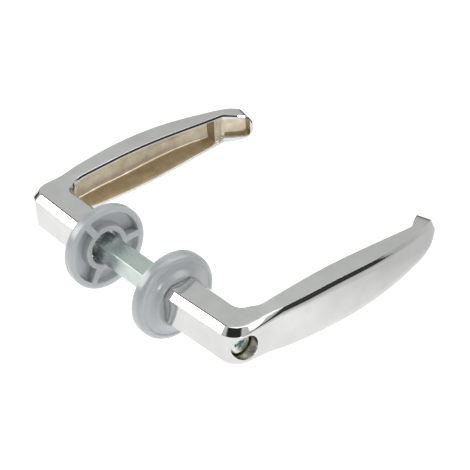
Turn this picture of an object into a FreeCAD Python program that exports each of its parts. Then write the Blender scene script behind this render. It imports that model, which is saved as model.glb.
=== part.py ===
"""Pair of door lever handles on a square spindle, as a parametric document.

Frame: origin in the middle of the spindle, +Y along the spindle, +X along the grips and +Z up.
The door lies between the two roses. "Depth" is the distance from the origin along the spindle axis.
Every lever and rose is drawn for the front, where depth runs towards -Y. The same lever and the same
rose turned half a turn about the X axis serve the back.
"""
import FreeCAD
import Part
import math
import os

import Sketcher
from FreeCAD import Placement, Rotation, Vector

SIZES = {
    # Spindle: a square bar with a tapped hole in each end.
    "spindle_side": 8.0,
    "spindle_length": 84.0,
    "spindle_edge": 0.35,
    "thread_bore": 5.1,
    "thread_depth": 16.0,
    # Roses: collars that cover the hole in each face of the door.
    "door_thickness": 38.0,
    "rose_radius": 17.0,
    "rose_band": 1.8,
    "rose_shoulder": 3.0,
    "rose_ridge_radius": 14.93,
    "rose_ridge_height": 4.65,
    "rose_height": 7.0,
    "rose_lip": 0.4,
    "rose_seat_radius": 9.6,
    "rose_seat_height": 6.7,
    "rose_bore_radius": 6.95,
    "rose_hub_radius": 9.0,
    "rose_recess_radius": 14.6,
    "rose_recess_depth": 3.2,
    "rib_width": 3.0,
    "rib_overlap": 0.5,
    # Neck and elbow of a lever.
    "neck_width": 14.4,
    "neck_height": 16.25,
    "neck_chamfer": 2.65,
    "neck_inner_chamfer": 2.3,
    "neck_start": 25.8,
    "neck_lean": 1.3,
    "elbow_end": 16.0,
    "grip_inner": 55.0,
    "elbow_outer": 62.6,
    "elbow_inner_radius": 8.0,
    "elbow_outer_radius": 7.0,
    # Round spigot that turns in the rose, and the square socket inside it.
    "spigot_radius": 6.9,
    "spigot_end": 22.5,
    "socket_side": 8.15,
    "socket_bottom": 46.0,
    # Fixing screw, its clearance hole, counterbore and spring washer.
    "screw_hole": 5.5,
    "counterbore": 9.6,
    "counterbore_floor": 54.0,
    "screw_diameter": 5.0,
    "screw_length": 20.0,
    "screw_point": 0.6,
    "head_diameter": 8.5,
    "head_height": 3.3,
    "head_edge": 0.6,
    "slot_span": 4.8,
    "slot_width": 1.1,
    "slot_depth": 2.0,
    "washer_bore": 5.3,
    "washer_diameter": 8.8,
    "washer_thickness": 1.3,
    "washer_split": 0.9,
    # How far a cut runs past the material it opens.
    "cut_past": 1.0,
    # Grip, at four stations: half height and depth of the outer top edge.
    "swell_x": 26.0,
    "swell_half": 8.95,
    "swell_outer": 63.1,
    "belly_x": 38.0,
    "belly_half": 9.45,
    "belly_outer": 63.7,
    "waist_x": 62.0,
    "waist_half": 8.5,
    "waist_outer": 63.5,
    "kink_x": 85.0,
    "kink_half": 6.75,
    "kink_outer": 59.7,
    # The outer face stands out past its top edge: first a steep round, then a shallow crown.
    "round_out": 0.9,
    "round_down": 2.4,
    "crown": 0.5,
    "inner_edge": 0.3,
    # Hook at the tip, which comes back towards the door.
    "hook_x": 89.8,
    "hook_inner": 51.4,
    "hook_turn": 106.4,
    "hook_thickness": 7.2,
    "hook_half": 6.1,
    "tip_x": 95.3,
    "tip_inner": 47.9,
    "tip_turn": 104.2,
    "tip_thickness": 7.2,
    "tip_half": 4.8,
    # Hollow along the back of the grip.
    "wall": 1.35,
    "floor": 1.5,
    "hollow_start": 8.6,
    "hollow_start_half": 6.5,
    "hollow_mouth": 4.5,
    "hollow_draft": 0.3,
    "hollow_end": 81.0,
    # Second hollow in the hook.
    "pocket_x": 90.1,
    "pocket_depth": 51.2,
    "pocket_turn": 34.6,
    "pocket_length": 9.2,
    "pocket_half": 4.0,
    "pocket_deep": 3.3,
}

SHEET = "Sizes"
FRONT = Placement(Vector(0, 0, 0), Rotation())
BACK = Placement(Vector(0, 0, 0), Rotation(Vector(1, 0, 0), 180))


def size(name):
    """Spreadsheet reference for one driving dimension."""
    return f"{SHEET}.{name}"


def add_sheet(doc):
    """Write the driving dimensions to the spreadsheet, one alias to a row."""
    sheet = doc.addObject("Spreadsheet::Sheet", SHEET)
    for row, (name, value) in enumerate(SIZES.items(), start=1):
        sheet.set(f"A{row}", name)
        sheet.set(f"B{row}", str(value))
        sheet.setAlias(f"B{row}", name)
    doc.recompute()
    return sheet


def add_body(doc, label):
    """A new body whose label is also the name of its file."""
    body = doc.addObject("PartDesign::Body", label)
    body.Label = label
    return body


def add_sketch(body, name, role, x="0", height="0", turn=None):
    """Sketch on an origin plane, moved x sideways and height off the plane, turned about its own y."""
    sketch = body.newObject("Sketcher::SketchObject", name)
    plane = next(f for f in body.Origin.OriginFeatures if f.Role == role)
    sketch.AttachmentSupport = (plane, [""])
    sketch.MapMode = "FlatFace"
    angle = 0.0 if turn is None else float(sketch.evalExpression(turn))
    sketch.AttachmentOffset = Placement(Vector(0, 0, 0), Rotation(Vector(0, 1, 0), angle))
    sketch.setExpression("AttachmentOffset.Base.x", x)
    sketch.setExpression("AttachmentOffset.Base.z", height)
    if turn is not None:
        sketch.setExpression("AttachmentOffset.Rotation.Angle", f"({turn}) * 1 deg")
    return sketch


def bulging_arc(start, end, radius):
    """Arc from start to end whose middle lies to the right of the way from start to end."""
    chord = end - start
    rise = radius - math.sqrt(radius ** 2 - (chord.Length / 2) ** 2)
    right = Vector(chord.y, -chord.x, 0).normalize()
    return Part.Arc(start, (start + end) / 2 + right * rise, end)


def draw_outline(sketch, corners):
    """Closed outline with both coordinates of every corner bound to the sheet.

    A corner is (x, y), or (x, y, radius) where an arc of that radius leads to the next corner and
    bulges to the right of the way there. All entries are spreadsheet expressions.
    """
    points = [Vector(*(float(sketch.evalExpression(c)) for c in corner[:2]), 0) for corner in corners]
    for index, corner in enumerate(corners):
        start = points[index]
        end = points[(index + 1) % len(points)]
        if len(corner) == 3:
            radius = float(sketch.evalExpression(corner[2]))
            sketch.addGeometry(bulging_arc(start, end, radius))
            tie(sketch, index, start, corner)
            bind(sketch, Sketcher.Constraint("Radius", index, radius), corner[2])
        else:
            sketch.addGeometry(Part.LineSegment(start, end))
            tie(sketch, index, start, corner)
    for index in range(len(corners)):
        after = (index + 1) % len(corners)
        last = end_vertex(sketch, index, points[after])
        first = 3 - end_vertex(sketch, after, points[(after + 1) % len(points)])
        sketch.addConstraint(Sketcher.Constraint("Coincident", index, last, after, first))


def end_vertex(sketch, index, point):
    """1 or 2: the vertex of an edge that lies at a point (an arc may run either way round)."""
    second = sketch.getPoint(index, 2)
    return 2 if (second - point).Length < 1e-6 else 1


def tie(sketch, index, start, corner):
    """Bind the first corner of an edge to its two coordinates."""
    vertex = 1 if (sketch.getPoint(index, 1) - start).Length < 1e-6 else 2
    bind(sketch, Sketcher.Constraint("DistanceX", -1, 1, index, vertex, start.x), corner[0])
    bind(sketch, Sketcher.Constraint("DistanceY", -1, 1, index, vertex, start.y), corner[1])


def bind(sketch, constraint, expression):
    """Add a dimension to a sketch and let the spreadsheet drive it."""
    number = sketch.addConstraint(constraint)
    sketch.setExpression(f"Constraints[{number}]", expression)


def draw_circle(sketch, radius):
    """Circle on the sketch's origin."""
    value = float(sketch.evalExpression(radius))
    sketch.addGeometry(Part.Circle(Vector(0, 0, 0), Vector(0, 0, 1), value))
    sketch.addConstraint(Sketcher.Constraint("Coincident", 0, 3, -1, 1))
    bind(sketch, Sketcher.Constraint("Radius", 0, value), radius)


def draw_rectangle(sketch, half_x, half_y):
    """Rectangle with its middle on the sketch's origin."""
    draw_outline(sketch, [(half_x, f"-({half_y})"), (half_x, half_y),
                          (f"-({half_x})", half_y), (f"-({half_x})", f"-({half_y})")])


def pad(body, sketch, length, reverse=False, middle=False):
    """Extrude a sketch along its normal, or both ways from its plane."""
    feature = body.newObject("PartDesign::Pad", f"{sketch.Name}_Pad")
    feature.Profile = sketch
    feature.setExpression("Length", length)
    feature.Reversed = reverse
    feature.SideType = "Symmetric" if middle else "One side"
    return finish_feature(body, feature, grows=True)


def pocket(body, sketch, length, reverse=False):
    """Cut a sketch against its normal, or along it when reversed."""
    feature = body.newObject("PartDesign::Pocket", f"{sketch.Name}_Pocket")
    feature.Profile = sketch
    feature.setExpression("Length", length)
    feature.Reversed = reverse
    return finish_feature(body, feature, grows=False)


def revolve(body, sketch):
    """Full turn of a sketch about its own vertical axis."""
    feature = body.newObject("PartDesign::Revolution", f"{sketch.Name}_Revolution")
    feature.Profile = sketch
    feature.ReferenceAxis = (sketch, ["V_Axis"])
    feature.Angle = 360
    return finish_feature(body, feature, grows=True)


def loft(body, kind, name, sketches, ruled=False):
    """Solid or cut through a row of sketches, smooth or with straight lines from one to the next."""
    feature = body.newObject(f"PartDesign::{kind}", name)
    feature.Profile = sketches[0]
    feature.Sections = sketches[1:]
    feature.Ruled = ruled
    return finish_feature(body, feature, grows=kind == "AdditiveLoft")


def dress(body, kind, name, edges, value, expression):
    """Fillet or chamfer on named edges of the body as it is."""
    base = body.Tip
    feature = body.newObject(f"PartDesign::{kind}", name)
    feature.Base = (base, edges)
    setattr(feature, value, float(feature.evalExpression(expression)))
    feature.setExpression(value, expression)
    body.Document.recompute()
    return feature


def finish_feature(body, feature, grows):
    """Recompute and make sure that the feature really added or removed material."""
    before = feature.BaseFeature.Shape.Volume if feature.BaseFeature else 0.0
    body.Document.recompute()
    change = feature.Shape.Volume - before
    if abs(change) < 1e-3 or (change > 0) != grows:
        raise RuntimeError(f"{feature.Name} changed the volume by {change:.3f}")
    return feature


def edges_where(shape, test):
    """Names of the edges whose two ends and middle all pass a test."""
    names = []
    for number, edge in enumerate(shape.Edges, start=1):
        middle = edge.valueAt((edge.FirstParameter + edge.LastParameter) / 2)
        points = [vertex.Point for vertex in edge.Vertexes] + [middle]
        if all(test(point) for point in points):
            names.append(f"Edge{number}")
    return names


def near(value, target):
    """Whether two lengths agree to a thousandth of a millimetre."""
    return abs(value - target) < 1e-3


def make_spindle(doc):
    """Square bar with broken edges and a tapped hole in each end."""
    body = add_body(doc, "spindle")
    half = f"({size('spindle_side')} / 2)"
    edge = size("spindle_edge")
    flat = f"({half} - {edge})"
    bar = add_sketch(body, "Bar", "XZ_Plane")
    draw_outline(bar, [(half, f"-{flat}"), (half, flat), (flat, half), (f"-{flat}", half),
                       (f"-{half}", flat), (f"-{half}", f"-{flat}"), (f"-{flat}", f"-{half}"),
                       (flat, f"-{half}")])
    pad(body, bar, size("spindle_length"), middle=True)
    for name, sign in (("FrontBore", ""), ("BackBore", "-")):
        end = f"{sign}({size('spindle_length')} / 2)"
        bore = add_sketch(body, name, "XZ_Plane", height=end)
        draw_circle(bore, f"{size('thread_bore')} / 2")
        pocket(body, bore, size("thread_depth"), reverse=sign == "-")
    return body


def make_rose(doc, label, turn):
    """Collar with a flat door face, a coved front and a stepped bore, hollow behind with three ribs."""
    body = add_body(doc, label)
    door = f"{size('door_thickness')} / 2"
    profile = add_sketch(body, "Profile", "XY_Plane")
    front = f"-({door} + {size('rose_height')})"
    seat = f"-({door} + {size('rose_seat_height')})"
    floor = f"-({door} + {size('rose_recess_depth')})"
    draw_outline(profile, [
        (size("rose_bore_radius"), f"-({door})"),
        (size("rose_bore_radius"), seat),
        (size("rose_seat_radius"), seat),
        (size("rose_seat_radius"), front),
        (f"{size('rose_seat_radius')} + {size('rose_lip')}", front),
        (size("rose_ridge_radius"), f"-({door} + {size('rose_ridge_height')})", size("rose_shoulder")),
        (size("rose_radius"), f"-({door} + {size('rose_band')})"),
        (size("rose_radius"), f"-({door})"),
        (size("rose_recess_radius"), f"-({door})"),
        (size("rose_recess_radius"), floor),
        (size("rose_hub_radius"), floor),
        (size("rose_hub_radius"), f"-({door})"),
    ])
    revolve(body, profile)
    rib = add_sketch(body, "Rib", "XZ_Plane", height=door)
    inner = f"{size('rose_hub_radius')} - {size('rib_overlap')}"
    outer = f"{size('rose_recess_radius')} + {size('rib_overlap')}"
    half = f"{size('rib_width')} / 2"
    draw_outline(rib, [(inner, f"-({half})"), (outer, f"-({half})"), (outer, half), (inner, half)])
    feature = pad(body, rib, size("rose_recess_depth"))
    ribs = body.newObject("PartDesign::PolarPattern", "Ribs")
    ribs.Originals = [feature]
    ribs.Axis = (rib, ["N_Axis"])
    ribs.Angle = 360
    ribs.Occurrences = 3
    body.Tip = ribs
    doc.recompute()
    body.Placement = turn
    return body


def grip_corners(half, thickness, inner, out, down, crown):
    """Eight corners of a section of the grip.

    The section's origin is on the inner face. The inner corners are cut by inner, the outer ones
    by out and down, and the outer face between them bulges by crown.
    """
    low = f"(({half}) - ({down}))"
    radius = None if crown is None else f"({low} ^ 2 + ({crown}) ^ 2) / (2 * ({crown}))"
    outer = (f"-({thickness})", low, radius)[:2 if crown is None else 3]
    return [
        ("0", f"(({half}) - ({inner}))"),
        (f"-({inner})", half),
        (f"-(({thickness}) - ({out}))", half),
        outer,
        (f"-({thickness})", f"-{low}"),
        (f"-(({thickness}) - ({out}))", f"-({half})"),
        (f"-({inner})", f"-({half})"),
        ("0", f"-(({half}) - ({inner}))"),
    ]


def hollow_corners(half, side, crest):
    """Seven corners of a section of the hollow: open inside, drafted walls, a ridge line along the floor."""
    mouth = size("hollow_mouth")
    foot = f"({half}) - {size('hollow_draft')} * ({side})"
    return [(mouth, f"-({half})"), (mouth, half), ("0", half), (f"-({side})", foot), (f"-({crest})", "0"),
            (f"-({side})", f"-({foot})"), ("0", f"-({half})")]


def add_elbow(body):
    """Neck and elbow: an L in plan, rounded at both corners and chamfered along its long edges."""
    plan = add_sketch(body, "Elbow", "XY_Plane")
    half = f"{size('neck_width')} / 2"
    draw_outline(plan, [
        (half, f"-{size('neck_start')}"),
        (f"-({half})", f"-{size('neck_start')}"),
        (f"{size('neck_lean')} - {half}", f"-{size('elbow_outer')}"),
        (size("elbow_end"), f"-{size('elbow_outer')}"),
        (size("elbow_end"), f"-{size('grip_inner')}"),
        (half, f"-{size('grip_inner')}"),
    ])
    solid = pad(body, plan, size("neck_height"), middle=True)
    inside = Vector(SIZES["neck_width"] / 2, -SIZES["grip_inner"], 0)
    outside = Vector(SIZES["neck_lean"] - SIZES["neck_width"] / 2, -SIZES["elbow_outer"], 0)
    for name, corner, radius in (("InnerBend", inside, "elbow_inner_radius"),
                                 ("OuterBend", outside, "elbow_outer_radius")):
        edges = edges_where(solid.Shape, lambda p: near(p.x, corner.x) and near(p.y, corner.y))
        solid = dress(body, "Fillet", name, edges, "Radius", size(radius))
    for name, inner, chamfer in (("OuterEdges", False, "neck_chamfer"),
                                 ("InnerEdges", True, "neck_inner_chamfer")):
        dress(body, "Chamfer", name, long_edges(body.Tip.Shape, inner), "Size", size(chamfer))


def long_edges(shape, inner):
    """Top and bottom edges of the L, along its inner or its outer side, without those of its two ends."""
    names = []
    for number, edge in enumerate(shape.Edges, start=1):
        point = edge.valueAt((edge.FirstParameter + edge.LastParameter) / 2)
        level = near(abs(point.z), SIZES["neck_height"] / 2)
        end = near(point.y, -SIZES["neck_start"]) or near(point.x, SIZES["elbow_end"])
        inside = point.x > SIZES["neck_width"] / 2 - 1e-3 and point.y > -SIZES["grip_inner"] - 1e-3
        if level and not end and inside == inner:
            names.append(f"Edge{number}")
    return names


def add_grip(body):
    """Leaf-shaped grip that starts from the elbow's end face, and the hook that ends it."""
    cut = size("neck_chamfer")
    start = add_sketch(body, "GripStart", "XZ_Plane", x=size("elbow_end"), height=size("grip_inner"), turn="90")
    draw_outline(start, grip_corners(f"{size('neck_height')} / 2",
                                     f"{size('elbow_outer')} - {size('grip_inner')}",
                                     size("neck_inner_chamfer"), cut, cut, None))
    row = [add_grip_section(body, station) for station in ("swell", "belly", "waist", "kink")]
    loft(body, "AdditiveLoft", "GripRoot", [start, row[0]], ruled=True)
    loft(body, "AdditiveLoft", "Grip", row)
    hook = [row[-1]]
    for station in ("hook", "tip"):
        sketch = add_sketch(body, station.capitalize(), "XZ_Plane", x=size(f"{station}_x"),
                            height=size(f"{station}_inner"), turn=size(f"{station}_turn"))
        draw_outline(sketch, grip_corners(size(f"{station}_half"), size(f"{station}_thickness"),
                                          size("inner_edge"), size("round_out"), size("round_down"),
                                          size("crown")))
        hook.append(sketch)
    loft(body, "AdditiveLoft", "HookEnd", hook)


def add_grip_section(body, station):
    """Section of the grip square to X at one of the stations of the sheet."""
    sketch = add_sketch(body, station.capitalize(), "XZ_Plane", x=size(f"{station}_x"),
                        height=size("grip_inner"), turn="90")
    thickness = f"{size(f'{station}_outer')} + {size('round_out')} - {size('grip_inner')}"
    draw_outline(sketch, grip_corners(size(f"{station}_half"), thickness, size("inner_edge"),
                                      size("round_out"), size("round_down"), size("crown")))
    return sketch


def add_hollows(body):
    """Long hollow behind the grip, with a ridge along its floor, and the pocket in the hook."""
    start = add_sketch(body, "HollowStart", "XZ_Plane", x=size("hollow_start"),
                       height=size("grip_inner"), turn="90")
    crest = f"{size('elbow_outer')} - {size('grip_inner')} - {size('floor')}"
    draw_outline(start, hollow_corners(size("hollow_start_half"), f"{crest} - {size('round_out')}", crest))
    row = []
    for station in ("swell", "belly", "waist"):
        row.append(add_hollow_section(body, f"Hollow{station.capitalize()}", size(f"{station}_x"),
                                      size(f"{station}_half"), size(f"{station}_outer")))
    share = f"(({size('hollow_end')} - {size('waist_x')}) / ({size('kink_x')} - {size('waist_x')}))"
    half = f"({size('waist_half')} + {share} * ({size('kink_half')} - {size('waist_half')}))"
    outer = f"({size('waist_outer')} + {share} * ({size('kink_outer')} - {size('waist_outer')}))"
    row.append(add_hollow_section(body, "HollowEnd", size("hollow_end"), half, outer))
    loft(body, "SubtractiveLoft", "HollowRoot", [start, row[0]], ruled=True)
    loft(body, "SubtractiveLoft", "Hollow", row)
    mouth = add_sketch(body, "Pocket", "XZ_Plane", x=size("pocket_x"), height=size("pocket_depth"),
                       turn=size("pocket_turn"))
    draw_rectangle(mouth, f"{size('pocket_length')} / 2", size("pocket_half"))
    pocket(body, mouth, size("pocket_deep"), reverse=True)


def add_hollow_section(body, name, x, half, outer):
    """Section of the hollow that leaves an even wall and floor."""
    sketch = add_sketch(body, name, "XZ_Plane", x=x, height=size("grip_inner"), turn="90")
    side = f"({outer} - {size('grip_inner')} - {size('floor')})"
    crest = f"({side} + {size('round_out')})"
    draw_outline(sketch, hollow_corners(f"{half} - {size('wall')}", side, crest))
    return sketch


def add_spigot_and_bores(body):
    """Round spigot, square socket for the spindle, and the stepped hole for the fixing screw."""
    spigot = add_sketch(body, "Spigot", "XZ_Plane", height=size("spigot_end"))
    draw_circle(spigot, size("spigot_radius"))
    pad(body, spigot, f"{size('neck_start')} - {size('spigot_end')}")
    socket = add_sketch(body, "Socket", "XZ_Plane", height=size("socket_bottom"))
    draw_rectangle(socket, f"{size('socket_side')} / 2", f"{size('socket_side')} / 2")
    pocket(body, socket, size("socket_bottom"))
    hole = add_sketch(body, "ScrewHole", "XZ_Plane", height=size("counterbore_floor"))
    draw_circle(hole, f"{size('screw_hole')} / 2")
    pocket(body, hole, f"{size('counterbore_floor')} - {size('socket_bottom')} + {size('cut_past')}")
    bore = add_sketch(body, "Counterbore", "XZ_Plane", height=size("counterbore_floor"))
    draw_circle(bore, f"{size('counterbore')} / 2")
    pocket(body, bore, f"{size('elbow_outer')} - {size('counterbore_floor')} + {size('cut_past')}",
           reverse=True)


def make_lever(doc, label, turn):
    """One cast lever: spigot, neck, elbow, hollow grip and hook in a single piece."""
    body = add_body(doc, label)
    add_elbow(body)
    add_grip(body)
    add_hollows(body)
    add_spigot_and_bores(body)
    body.Placement = turn
    return body


def make_washer(doc, label, turn):
    """Split spring washer under the screw head."""
    body = add_body(doc, label)
    ring = add_sketch(body, "Ring", "XZ_Plane", height=size("counterbore_floor"))
    draw_circle(ring, f"{size('washer_diameter')} / 2")
    pad(body, ring, size("washer_thickness"))
    bore = add_sketch(body, "WasherBore", "XZ_Plane", height=size("counterbore_floor"))
    draw_circle(bore, f"{size('washer_bore')} / 2")
    pocket(body, bore, size("washer_thickness"), reverse=True)
    split = add_sketch(body, "Split", "XZ_Plane", height=size("counterbore_floor"))
    half = f"{size('washer_split')} / 2"
    reach = f"{size('washer_diameter')} / 2 + {size('cut_past')}"
    draw_outline(split, [("0", f"-({half})"), (reach, f"-({half})"), (reach, half), ("0", half)])
    pocket(body, split, size("washer_thickness"), reverse=True)
    body.Placement = turn
    return body


def make_screw(doc, label, turn):
    """Cross-recessed screw that draws a lever onto the end of the spindle."""
    body = add_body(doc, label)
    under = f"({size('counterbore_floor')} + {size('washer_thickness')})"
    top = f"({under} + {size('head_height')})"
    point = f"({under} - {size('screw_length')})"
    radius = f"{size('screw_diameter')} / 2"
    head = f"{size('head_diameter')} / 2"
    profile = add_sketch(body, "ScrewProfile", "XY_Plane")
    draw_outline(profile, [
        ("0", f"-{point}"),
        ("0", f"-{top}"),
        (f"{head} - {size('head_edge')}", f"-{top}"),
        (head, f"-({top} - {size('head_edge')})"),
        (head, f"-{under}"),
        (radius, f"-{under}"),
        (radius, f"-({point} + {size('screw_point')})"),
        (f"{radius} - {size('screw_point')}", f"-{point}"),
    ])
    revolve(body, profile)
    for name, long_x in (("SlotAcross", True), ("SlotUpright", False)):
        slot = add_sketch(body, name, "XZ_Plane", height=top)
        span = f"{size('slot_span')} / 2"
        width = f"{size('slot_width')} / 2"
        draw_rectangle(slot, span if long_x else width, width if long_x else span)
        pocket(body, slot, size("slot_depth"))
    body.Placement = turn
    return body


def check_document(doc):
    """Stop on any object that failed to recompute."""
    failed = [o.Name for o in doc.Objects if "Invalid" in o.State or "Error" in o.State]
    if failed:
        raise RuntimeError(f"objects in error: {failed}")


def export(body):
    """Check one piece and write it to its own file."""
    shape = body.Shape
    if shape.isNull() or not shape.isValid() or len(shape.Solids) != 1:
        raise RuntimeError(f"{body.Label} is not one valid solid")
    shape.exportStep(f"parts/{body.Label}.step")
    box = shape.BoundBox
    print(f"{body.Label}: {shape.Volume:.1f} mm3, x {box.XMin:.2f} to {box.XMax:.2f}, "
          f"y {box.YMin:.2f} to {box.YMax:.2f}, z {box.ZMin:.2f} to {box.ZMax:.2f}")


def main():
    """Build every piece in one document and export them all."""
    doc = FreeCAD.newDocument("DoorLevers")
    add_sheet(doc)
    pieces = [make_spindle(doc)]
    for side, turn in (("front", FRONT), ("back", BACK)):
        pieces.append(make_rose(doc, f"{side}_rose", turn))
        pieces.append(make_lever(doc, f"{side}_lever", turn))
        pieces.append(make_screw(doc, f"{side}_screw", turn))
        pieces.append(make_washer(doc, f"{side}_spring_washer", turn))
    doc.recompute()
    check_document(doc)
    os.makedirs("parts", exist_ok=True)
    for body in pieces:
        export(body)


main()
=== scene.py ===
"""Looks of a pair of door lever handles on a square spindle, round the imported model.

Sizes in the classes are in millimetres, and Skin.build turns them into metres. "Depth" is the distance
from the middle of the door along the spindle. Every lever, rose, screw and washer is worked out for the
front of the door, where depth runs towards -Y, and half a turn about X serves the back.
"""
import logging
import math
from dataclasses import dataclass, field
from enum import Enum

import bmesh
import bpy
import numpy as np
from mathutils import Matrix, Vector


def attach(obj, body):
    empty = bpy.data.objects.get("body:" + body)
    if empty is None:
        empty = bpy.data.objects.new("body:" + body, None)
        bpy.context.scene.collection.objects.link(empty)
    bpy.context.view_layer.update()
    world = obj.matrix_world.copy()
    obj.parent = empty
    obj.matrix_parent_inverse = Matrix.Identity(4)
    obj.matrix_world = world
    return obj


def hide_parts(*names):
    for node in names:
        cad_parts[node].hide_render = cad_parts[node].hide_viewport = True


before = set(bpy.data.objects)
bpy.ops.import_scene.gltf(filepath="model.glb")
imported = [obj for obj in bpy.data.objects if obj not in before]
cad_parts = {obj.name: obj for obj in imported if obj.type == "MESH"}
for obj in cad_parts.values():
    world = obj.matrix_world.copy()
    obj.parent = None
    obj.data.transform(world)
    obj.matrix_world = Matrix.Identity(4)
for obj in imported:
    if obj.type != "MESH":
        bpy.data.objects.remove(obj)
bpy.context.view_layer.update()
MM = 0.001
# Faces that meet at more than this angle show a crisp edge.
CRISP = math.radians(38.0)
# Points on each rounded corner of an outline, and the most of a side that one corner may take.
ARC = 5
MOST_OF_SIDE = 0.48
Pair = tuple[float, float]
Triple = tuple[float, float, float]
Socket = bpy.types.NodeSocket
LOG = logging.getLogger("door_levers")


class Side(Enum):
    """The side of the door that a piece serves: its name and the signs of Y and Z there."""

    FRONT = ("front", 1.0)
    BACK = ("back", -1.0)

    @property
    def label(self) -> str:
        """First part of a piece's name."""
        return self.value[0]

    def place(self, points: np.ndarray) -> np.ndarray:
        """Points of the front turned half a turn about X for the back."""
        return points * np.array([1.0, self.value[1], self.value[1]])

    @property
    def lever_body(self) -> str:
        """Body that the lever of this side belongs to."""
        return "front_lever" if self is Side.FRONT else "spindle_and_back_lever"


def smooth_step(value: np.ndarray, start: float, end: float) -> np.ndarray:
    """Zero before start, one after end and 3t^2 - 2t^3 between."""
    t = np.clip((value - start) / (end - start), 0.0, 1.0)
    return t * t * (3.0 - 2.0 * t)


def mix(first: np.ndarray, second: np.ndarray, share: np.ndarray) -> np.ndarray:
    """Straight blend from first to second."""
    return first + (second - first) * share


def flowing_curve(knots: np.ndarray, values: np.ndarray, at: np.ndarray) -> np.ndarray:
    """Cubic spline through values at the knots, level at the first knot and unbent at the last.

    The second derivatives solve the usual tridiagonal system, so that reflections run on over a knot
    without a break.

    Args:
        knots: increasing places along the piece.
        values: value at each knot.
        at: places where the curve is wanted.

    Returns:
        The curve's values, held at the first value before the first knot.
    """
    span = np.diff(knots)
    slope = np.diff(values) / span
    inner = np.arange(1, len(knots) - 1)
    matrix = np.zeros((len(knots), len(knots)))
    right = np.zeros(len(knots))
    matrix[0, :2] = 2.0 * span[0], span[0]
    right[0] = 6.0 * slope[0]
    matrix[inner, inner - 1] = span[:-1]
    matrix[inner, inner] = 2.0 * (span[:-1] + span[1:])
    matrix[inner, inner + 1] = span[1:]
    right[inner] = 6.0 * np.diff(slope)
    matrix[-1, -1] = 1.0
    bend = np.linalg.solve(matrix, right)
    place = np.maximum(at, knots[0])
    low = np.clip(np.searchsorted(knots, place) - 1, 0, len(span) - 1)
    past, left, step = place - knots[low], knots[low + 1] - place, span[low]
    cubic = (bend[low] * left**3 + bend[low + 1] * past**3) / (6.0 * step)
    start = values[low] / step - bend[low] * step / 6.0
    end = values[low + 1] / step - bend[low + 1] * step / 6.0
    return cubic + start * left + end * past


def rounded_loops(corners: np.ndarray, reach: np.ndarray, between: list[int],
                  arc: int = ARC) -> np.ndarray:
    """Closed outlines with rounded corners, all at once.

    Each corner becomes the quadratic curve (1-t)^2 A + 2t(1-t) P + t^2 B, where P is the corner and A
    and B lie on its two sides, reach away from it but never past the middle of a side.

    Args:
        corners: array of stations x corners x 2.
        reach: how far each corner's rounding reaches, stations x corners.
        between: number of points inside each side, from its corner to the next.
        arc: points on each corner.

    Returns:
        Array of stations x points x 2.
    """
    after = np.roll(corners, -1, axis=1) - corners
    length = np.linalg.norm(after, axis=2)
    before = np.roll(length, 1, axis=1)
    cut = np.minimum(reach, MOST_OF_SIDE * np.minimum(length, before))
    # Where two corners fall on one point, the side between them has no length and no direction.
    towards = after / np.maximum(length, 1e-9)[..., None]
    leave = corners + towards * cut[..., None]
    enter = corners - np.roll(towards, 1, axis=1) * cut[..., None]
    t = np.linspace(0.0, 1.0, arc)[:, None]
    start, middle, end = enter[:, :, None], corners[:, :, None], leave[:, :, None]
    curve = start * (1 - t) ** 2 + middle * 2 * t * (1 - t) + end * t**2
    arrive = np.roll(enter, -1, axis=1)
    runs = []
    for number, count in enumerate(between):
        runs.append(curve[:, number])
        share = (np.arange(count) + 1.0)[:, None] / (count + 1.0)
        runs.append(leave[:, number, None] * (1 - share) + arrive[:, number, None] * share)
    return np.concatenate(runs, axis=1)


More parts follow.
